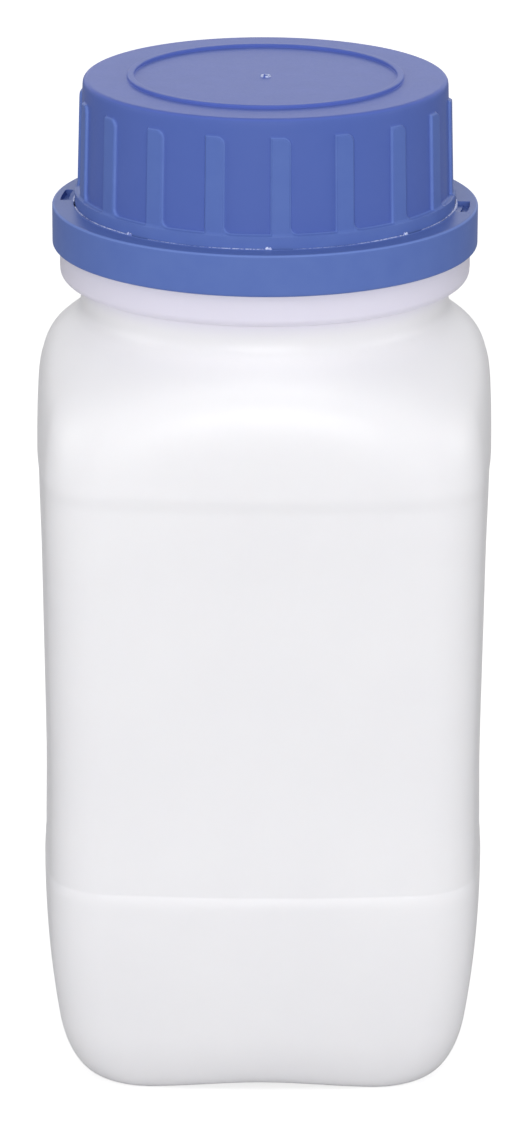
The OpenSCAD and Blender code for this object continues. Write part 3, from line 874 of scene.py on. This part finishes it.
class BOTTLE_OT_bottle(bpy.types.Operator):
    """Makes the blown bottle with its collar and its neck."""

    bl_idname = "bottle.bottle"
    bl_label = "Bottle"

    def execute(self, context):
        sizes = context.scene.bottle
        wall, neck = sizes.wall, sizes.neck
        material = material_for("Natural HDPE, blow moulded", sizes)
        rows, columns = bottle_rows(wall, neck), wall_columns()
        points, faces = closed_skin(rows, columns, lambda row, angle: (angle, row[0], row[1]))
        flat = mesh_of("bottle_flat", points, faces)
        repeats = [1] + [len(columns)] * (len(rows) - 2) + [1]
        for i, fact in enumerate(ROW_FACTS, 2):
            values = [row[i] for row, n in zip(rows, repeats) for _ in range(n)]
            flat.attributes.new(fact, "FLOAT", "POINT").data.foreach_set("value", values)
        waist = neck.collar_radius - neck.collar_overhang
        across = waist - wall.dome_offset
        drop = wall.waist_drop + math.sqrt(wall.dome_radius**2 - across**2)
        values = {label: getattr(wall, key) for key, label in sizes_of(wall).items()}
        values.update({"Waist radius": waist, "Material": material})
        values["Dome centre"] = neck_levels(neck)[0] - drop
        skin = grown(flat, wall_tree(wall), values)
        mesh = finished("bottle_skin", skin, material, 38)
        place("bottle_skin", mesh, "bottle", "bottle", "natural_hdpe")
        return {"FINISHED"}


class BOTTLE_OT_neck_thread(bpy.types.Operator):
    """Makes the screw thread on the neck."""

    bl_idname = "bottle.neck_thread"
    bl_label = "Neck thread"

    def execute(self, context):
        sizes = context.scene.bottle
        neck = sizes.neck
        material = material_for("Natural HDPE, blow moulded", sizes)
        start = neck_levels(neck)[1] + neck.thread_start
        made = thread(neck, neck.neck_radius, 1, start, neck.neck_turns, material)
        mesh = finished("neck_thread", made, material, 30)
        place("neck_thread", mesh, "bottle", None, "natural_hdpe")
        return {"FINISHED"}


class BOTTLE_OT_ring(bpy.types.Operator):
    """Makes the tamper ring with its ledge, ratchet pockets, ramps and retaining bead."""

    bl_idname = "bottle.ring"
    bl_label = "Tamper ring"

    def execute(self, context):
        sizes = context.scene.bottle
        material = material_for("Blue PP, injection moulded", sizes)
        section = self.section(sizes.ring, sizes.neck)
        columns = self.columns(sizes.ring)
        points = [
            around(radius, angle, level - self.sunk(sizes.ring, radius, level, share))
            for radius, level in section
            for angle, share in columns
        ]
        flat = mesh_of("ring", points, grid_faces(len(section), len(columns), looped=True))
        mesh = finished("ring_shell", flat, material, 38)
        place("ring_shell", mesh, "bottle", "tamper_ring", "blue_pp")
        return {"FINISHED"}

    def section(self, ring, neck):
        """Radius and level of the ring's section: over the ledge, down the wall and up inside."""
        bore = RING_RADIUS - ring.wall
        soft, turn = 0.12 * MM, ring.edge_round
        ledge, under = ring.ledge_radius, RING_TOP - ring.ledge
        pocket_in = ledge + ring.pocket_inset
        pocket_out = pocket_in + ring.pocket_width
        groove, half = RING_LOW + neck.groove_rise, ring.bead_height / 2
        tip, slope = bore - ring.bead_reach, ring.bead_height / 4
        return (
            [(ledge, under + soft), (ledge, RING_TOP - soft)]
            + arc((ledge + soft, RING_TOP), soft, 180, 0, 6)
            + [(ledge + 3 * soft, RING_TOP), (pocket_in - soft, RING_TOP), (pocket_in, RING_TOP)]
            + [(pocket_in + SLIVER, RING_TOP), (pocket_out - SLIVER, RING_TOP)]
            + [(pocket_out, RING_TOP), (RING_RADIUS - turn - soft, RING_TOP)]
            + arc((RING_RADIUS - turn, RING_TOP - turn), turn, 90, 0, 7)
            + [(RING_RADIUS, RING_TOP - 2 * turn), (RING_RADIUS, RING_LOW + 2 * turn)]
            + arc((RING_RADIUS - turn, RING_LOW + turn), turn, 0, -90, 7)
            + [(bore + soft, RING_LOW), (bore, RING_LOW + soft), (bore, groove - half)]
            + [(tip, groove - half + slope), (tip, groove + half - slope)]
            + [(bore, groove + half), (bore, under), (ledge + soft, under)]
        )

    def columns(self, ring):
        """Angles round the ring. Each has its share of the way along a pocket, or None outside."""
        turn, steps, rest = FULL / ring.pocket_count, 16, 84
        sliver = SLIVER / RING_RADIUS
        columns = []
        for pocket in range(ring.pocket_count):
            end = pocket * turn
            start = end - ring.pocket_angle
            inside = spaced(start + sliver, end - sliver, steps)
            columns.append((start, None))
            columns += [(angle, i / steps) for i, angle in enumerate(inside)]
            columns += [(angle, None) for angle in spaced(end, start + turn, rest)[:-1]]
        return columns

    def sunk(self, ring, radius, level, share):
        """How deep a point of the ledge's top lies in a pocket, or on the ramp beside it."""
        pocket_in = ring.ledge_radius + ring.pocket_inset
        if share is None or level < RING_TOP - ring.edge_round:
            return 0
        if radius <= pocket_in:
            return ring.ramp_depth * share
        return ring.ledge - ring.pocket_floor if radius < pocket_in + ring.pocket_width else 0


class BOTTLE_OT_bridges(bpy.types.Operator):
    """Makes the bridges that join the ring to the cap until it is first opened."""

    bl_idname = "bottle.bridges"
    bl_label = "Bridges"

    # Places along a bridge as shares of its half width, with the torn edge's height there. A
    # thin skin of flash trails from one side of it.
    flash = ((-44, 0.1), (-36, 0.16), (-18, 0.2), (-11, 0.3), (-4, 0.28), (-2, 0.3), (-1.4, 0.1))
    torn = ((-1.2, 0.2), (-0.8, 0.85), (-0.2, 1), (0.1, 0.6), (0.8, 0.9), (1.3, 0.15))

    def execute(self, context):
        sizes = context.scene.bottle
        ring = sizes.ring
        material = material_for("Blue PP, pale in patches", sizes)
        low, high = (end.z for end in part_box("tamper_bridges"))
        inner, outer = CAP_RADIUS + 0.1 * MM, ring.ledge_radius + 0.12 * MM
        points, edge = [], self.flash + self.torn
        for along, share in edge:
            angle = along * ring.bridge_width / 2 / outer
            top = RING_TOP + share * (high - RING_TOP)
            slope = [(outer, RING_TOP), (0.4 * inner + 0.6 * outer, 0.6 * RING_TOP + 0.4 * top)]
            section = [(inner, low), (outer, low), *slope, (inner, top)]
            points += [around(radius, angle, level) for radius, level in section]
        count = len(section)
        faces = grid_faces(len(edge), count)
        faces += [tuple(reversed(range(count))), tuple(range(len(points) - count, len(points)))]
        item = mesh_of("bridge", points, faces)
        made = repeated(item, ring.bridge_count, FRONT + ring.bridge_turn, 0, material)
        mesh = finished("bridge_set", made, material, 50)
        place("bridge_set", mesh, "bottle", "tamper_bridges", "blue_pp")
        return {"FINISHED"}


def rib_gap(cap, along, up, tall):
    """Distance from a rib or the band, negative inside, at a place on the skirt's outside."""
    half, turn = cap.rib_width / 2, cap.rib_round
    if along > half - turn and up > tall - turn:
        rib = math.hypot(along - half + turn, up - tall + turn) - turn
    else:
        rib = max(-half - along, along - half, up - tall)
    if half <= along <= half + turn and up <= turn:
        rib = min(rib, turn - math.hypot(along - half - turn, up - turn))
    return min(rib, up)


def eased(value):
    """A smooth step from 0 to 1."""
    u = min(1, max(0, value))
    return u * u * (3 - 2 * u)


def strip(upper, wide, lower, narrow):
    """Faces between two rows of points over the same angles, with equal or unequal columns."""
    if len(wide) == len(narrow):
        return [(upper + i, lower + i, lower + i + 1, upper + i + 1) for i in range(len(wide) - 1)]
    faces, i, j = [], 0, 0
    while i < len(wide) - 1 or j < len(narrow) - 1:
        if j == len(narrow) - 1 or (i < len(wide) - 1 and wide[i + 1] <= narrow[j + 1]):
            faces.append((upper + i, lower + j, upper + i + 1))
            i += 1
        else:
            faces.append((upper + i, lower + j, lower + j + 1))
            j += 1
    return faces


class BOTTLE_OT_cap(bpy.types.Operator):
    """Makes the ribbed screw cap: one rib's share of it, repeated round the axis."""

    bl_idname = "bottle.cap"
    bl_label = "Cap"

    def execute(self, context):
        sizes = context.scene.bottle
        cap = sizes.cap
        material = material_for("Blue PP, injection moulded", sizes)
        item = self.sector(cap, sizes.neck)
        made = repeated(item, cap.rib_count, FRONT + cap.rib_turn, 0.002 * MM, material)
        mesh = finished("cap_shell", made, material, 38)
        place("cap_shell", mesh, "cap", "screw_cap", "blue_pp")
        return {"FINISHED"}

    def crown(self, cap, top):
        """Radius and level of the top, from the broken gate out over the raised circle."""
        bead_out, bead_in = cap.bead_radius, cap.bead_radius - cap.bead_width
        mark, rim, high = cap.gate_radius, cap.gate_rim / 2, cap.gate_height
        turn, fillet = 0.28 * MM, 0.12 * MM
        return (
            [(0.3 * MM, top - high), (mark - 2 * rim - SLIVER, top - high), (mark - 2 * rim, top)]
            + arc((mark - rim, top + high - rim), rim, 180, 0, 6)
            + [(mark, top + SLIVER), (mark + SLIVER, top)]
            + [(radius, top) for radius in spaced(mark + 0.5 * MM, bead_in - 0.4 * MM, 6)]
            + [(bead_in - fillet, top), (bead_in, top + 0.1 * MM)]
            + arc((bead_in + turn, CAP_HIGH - turn), turn, 180, 90, 5)
            + arc((bead_out - turn, CAP_HIGH - turn), turn, 90, 0, 5)
            + [(bead_out, top + 0.1 * MM), (bead_out + fillet, top), (bead_out + 0.4 * MM, top)]
        )

    def outside(self, cap, top, band, rib_top):
        """Radius and level of the skirt's outside, without ribs, from the top to the foot."""
        foot = CAP_RADIUS - cap.band_margin - cap.rib_raise
        shoulder, slope = foot - cap.skirt_draft, cap.skirt_draft / (top - band)
        turn, soft, corner = cap.edge_round, cap.soft_edge, cap.rib_round
        levels = [
            *(top - 1.35 * turn, top - 2 * turn, rib_top + 2 * soft),
            *spaced(rib_top + soft, rib_top - corner, 18),
            *spaced(rib_top - corner - 1 * MM, band + corner + 0.6 * MM, 6),
            *spaced(band + corner, band + soft, 9),
            *spaced(band + 0.75 * soft, band - 0.75 * soft, 6),
            *(band - soft - 0.1 * MM, CAP_LOW + 0.6 * MM),
        ]
        return [
            (shoulder - 1.5 * turn, top),
            *arc((shoulder - turn, top - turn), turn, 90, 4, 9),
            *[(min(foot, shoulder + slope * (top - level)), level) for level in levels],
            *[(foot, CAP_LOW + 0.3 * MM), (foot, CAP_LOW + 0.12 * MM)],
            *[(foot - 0.07 * MM, CAP_LOW + 0.03 * MM), (foot - 0.2 * MM, CAP_LOW)],
            (foot - 0.6 * MM, CAP_LOW),
        ]

    def sector(self, cap, neck):
        """One rib's share of the cap, from the middle of the top round to the roof's middle."""
        top, band = CAP_HIGH - cap.bead_height, RING_TOP + cap.band_height
        rib_top = top - cap.rib_margin
        half, turn, soft = cap.rib_width / 2, cap.rib_round, cap.soft_edge
        reach = CAP_RADIUS - cap.band_margin
        edge = reach * math.pi / cap.rib_count
        places = [
            *spaced(-edge, -half - 2 * soft, 4),
            *spaced(-half - soft, -half + soft, 10),
            *spaced(-half + 2 * soft, half - turn - 2 * soft, 2),
            *spaced(half - turn - soft, half + turn + soft, 26),
            *spaced(half + turn + 2 * soft, edge, 3),
        ]
        fine = [p / reach for p in places]
        coarse = spaced(-edge / reach, edge / reach, 8)
        path = self.outside(cap, top, band, rib_top)
        crown = self.crown(cap, top) + [(path[0][0] - 1 * MM, top)]
        bore, roof, inner_turn = neck.bore_radius, top - cap.roof, 0.4 * MM
        inner = (
            [(path[-1][0] - 0.5 * MM, CAP_LOW), (bore + 0.3 * MM, CAP_LOW)]
            + [(bore, CAP_LOW + 0.3 * MM), (bore, CAP_LOW + 1 * MM)]
            + [(bore, roof - 1 * MM), (bore, roof - 0.5 * MM)]
            + arc((bore - inner_turn, roof - inner_turn), inner_turn, 0, 90, 4)
            + [(radius, roof) for radius in spaced(bore - 1 * MM, 2 * MM, 6)]
        )
        points, faces, loops = [(0, 0, crown[0][1])], [], []
        for section, columns in ((crown, coarse), (path, fine), (inner, coarse)):
            for radius, level in section:
                loops.append((len(points), columns))
                for angle in columns:
                    out = 0
                    if section is path:
                        gap = rib_gap(cap, angle * reach, level - band, rib_top - band)
                        out = cap.rib_raise * eased(0.5 - gap / soft)
                        out += cap.band_margin * eased(0.5 - (level - band) / soft)
                    points.append(around(radius + out, angle, level))
        last = len(points)
        points.append((0, 0, roof))
        for upper, lower in zip(loops, loops[1:]):
            faces += strip(*upper, *lower)
        start, end = loops[0][0], loops[-1][0]
        for i in range(len(coarse) - 1):
            faces += [(0, start + i, start + i + 1), (last, end + i + 1, end + i)]
        return mesh_of("cap_sector", points, faces)


class BOTTLE_OT_cap_thread(bpy.types.Operator):
    """Makes the screw thread inside the cap."""

    bl_idname = "bottle.cap_thread"
    bl_label = "Cap thread"

    def execute(self, context):
        sizes = context.scene.bottle
        neck = sizes.neck
        material = material_for("Blue PP, injection moulded", sizes)
        start = neck_levels(neck)[1] + neck.thread_start + neck.lead / 2
        made = thread(neck, neck.bore_radius, -1, start, neck.cap_turns, material)
        mesh = finished("cap_thread", made, material, 30)
        place("cap_thread", mesh, "cap", None, "blue_pp")
        return {"FINISHED"}


class BOTTLE_OT_liner(bpy.types.Operator):
    """Makes the foam liner, with the lip's print on its underside."""

    bl_idname = "bottle.liner"
    bl_label = "Liner"

    def execute(self, context):
        sizes = context.scene.bottle
        neck = sizes.neck
        material = material_for("Polyethylene foam, die cut", sizes)
        inside, outside = neck.neck_radius - neck.neck_wall, neck.neck_radius
        soft, swell = 0.2 * MM, 0.12 * MM
        # Radii of the underside, each with its share of the swell beside the lip's print.
        under = (
            *((0, 1), (12 * MM, 1), (22 * MM, 1), (inside - 1.2 * MM, 1)),
            *((inside - 0.3 * MM, 0.8), (inside, 0.2), (inside + 0.4 * MM, 0)),
            *((outside - 0.4 * MM, 0), (outside + 0.1 * MM, 0.3), (outside + 0.5 * MM, 1)),
            (LINER_RADIUS - soft, 1),
        )
        section = (
            [(radius, LINER_LOW - share * swell) for radius, share in under]
            + arc((LINER_RADIUS - soft, LINER_LOW + soft), soft, -60, 0, 4)
            + arc((LINER_RADIUS - soft, LINER_HIGH - soft), soft, 0, 90, 5)
            + [(22 * MM, LINER_HIGH), (12 * MM, LINER_HIGH), (0, LINER_HIGH)]
        )
        columns = spaced(0, FULL, 144)[:-1]
        points, faces = closed_skin(section, columns, lambda row, a: around(row[0], a, row[1]))
        mesh = finished("liner_disc", mesh_of("liner", points, faces), material, 40)
        place("liner_disc", mesh, "liner", "sealing_liner", "liner_foam")
        return {"FINISHED"}


class BOTTLE_OT_stage(bpy.types.Operator):
    """Makes the floor, the light all round, the studio lamps and the camera."""

    bl_idname = "bottle.stage"
    bl_label = "Stage"

    def execute(self, context):
        sizes = context.scene.bottle
        studio = sizes.studio
        self.floor(sizes)
        self.sky(context.scene, studio)
        # Each lamp's name, place, width, height and power.
        for lamp in (
            ("front_light", (0, -2.2, 0.35), 1.6, 1.2, studio.front),
            ("top_light", (0, -0.9, 1.7), 1.2, 1.0, studio.top),
            ("back_light", (0, 1.8, 0.75), 2.0, 0.8, studio.back),
            ("left_light", (-2, -0.2, 0.6), 1.0, 1.0, studio.side),
            ("right_light", (2, -0.2, 0.6), 1.0, 1.0, studio.side),
        ):
            self.lamp(*lamp)
        lens = bpy.data.cameras.new("camera")
        lens.sensor_width, lens.lens, lens.clip_end = 36, studio.lens, 20
        camera = shown("camera", lens)
        camera.location = (studio.camera_x, -studio.camera_y, studio.camera_z)
        camera.rotation_euler = (QUARTER - studio.pitch, 0, 0)
        camera.rotation_euler.rotate_axis("Z", studio.roll)
        context.scene.camera = camera
        context.scene.view_settings.view_transform = "Standard"
        return {"FINISHED"}

    def floor(self, sizes):
        """A wide pale floor. It shows as white where no shadow falls."""
        reach = 6
        corners = [(-reach, -reach, 0), (reach, -reach, 0), (reach, reach, 0), (-reach, reach, 0)]
        mesh = mesh_of("floor", corners, [(0, 1, 2, 3)])
        material = bpy.data.materials.new("Matt paper floor")
        put = emptied(material)
        seen = put("ShaderNodeLightPath", output="Is Camera Ray")
        paper = put("ShaderNodeBsdfDiffuse", {"Color": sizes.finish.floor})
        glow = put("ShaderNodeEmission", {"Strength": sizes.studio.glow})
        lit = put("ShaderNodeAddShader", [paper, glow])
        put("ShaderNodeOutputMaterial", [put("ShaderNodeMixShader", [seen, paper, lit])])
        mesh.materials.append(material)
        floor = shown("floor", mesh)

    def sky(self, scene, studio):
        """Even light from all round, which shows and reflects as white."""
        scene.world = bpy.data.worlds.new("White surround")
        put = emptied(scene.world)
        path = put("ShaderNodeLightPath")
        seen = path.out("Is Camera Ray").by("MAXIMUM", path.out("Is Glossy Ray"))
        seen = seen.by("MAXIMUM", path.out("Is Transmission Ray"))
        soft, white = (
            put("ShaderNodeBackground", {"Color": (1, 1, 1), "Strength": strength})
            for strength in (studio.sky, 1)
        )
        put("ShaderNodeOutputWorld", [put("ShaderNodeMixShader", [seen, soft, white])])

    def lamp(self, name, spot, width, height, power):
        """A broad soft lamp that looks at the bottle's middle."""
        light = bpy.data.lights.new(name, "AREA")
        light.shape, light.size, light.size_y, light.energy = "RECTANGLE", width, height, power
        lamp = shown(name, light)
        lamp.location = spot
        aim = lamp.location.copy()
        aim.z -= LIP / 2
        lamp.rotation_euler = aim.to_track_quat("Z", "Y").to_euler()


OPERATORS = (
    BOTTLE_OT_bottle,
    BOTTLE_OT_neck_thread,
    BOTTLE_OT_ring,
    BOTTLE_OT_bridges,
    BOTTLE_OT_cap,
    BOTTLE_OT_cap_thread,
    BOTTLE_OT_liner,
    BOTTLE_OT_stage,
)
GROUPS = (
    BOTTLE_PG_wall,
    BOTTLE_PG_neck,
    BOTTLE_PG_cap,
    BOTTLE_PG_ring,
    BOTTLE_PG_finish,
    BOTTLE_PG_studio,
    BOTTLE_PG_all,
)


class BOTTLE_PT_maker(bpy.types.Panel):
    """Lists what the bottle is made of."""

    bl_label = "Reagent bottle"
    bl_idname = "BOTTLE_PT_maker"
    bl_space_type = "VIEW_3D"
    bl_region_type = "UI"
    bl_category = "Bottle"

    def draw(self, context):
        for operator in OPERATORS:
            self.layout.operator(operator.bl_idname)
        for key in sizes_of(context.scene.bottle):
            box = self.layout.box()
            group = getattr(context.scene.bottle, key)
            for size in sizes_of(group):
                box.prop(group, size)


def register():
    for made in (*GROUPS, *OPERATORS, BOTTLE_PT_maker):
        bpy.utils.register_class(made)
    bpy.types.Scene.bottle = PointerProperty(type=BOTTLE_PG_all)


def unregister():
    del bpy.types.Scene.bottle
    for made in (BOTTLE_PT_maker, *reversed(OPERATORS), *reversed(GROUPS)):
        bpy.utils.unregister_class(made)


def main():
    register()
    for operator in OPERATORS:
        group, name = operator.bl_idname.split(".")
        getattr(getattr(bpy.ops, group), name)()


if __name__ == "__main__":
    main()
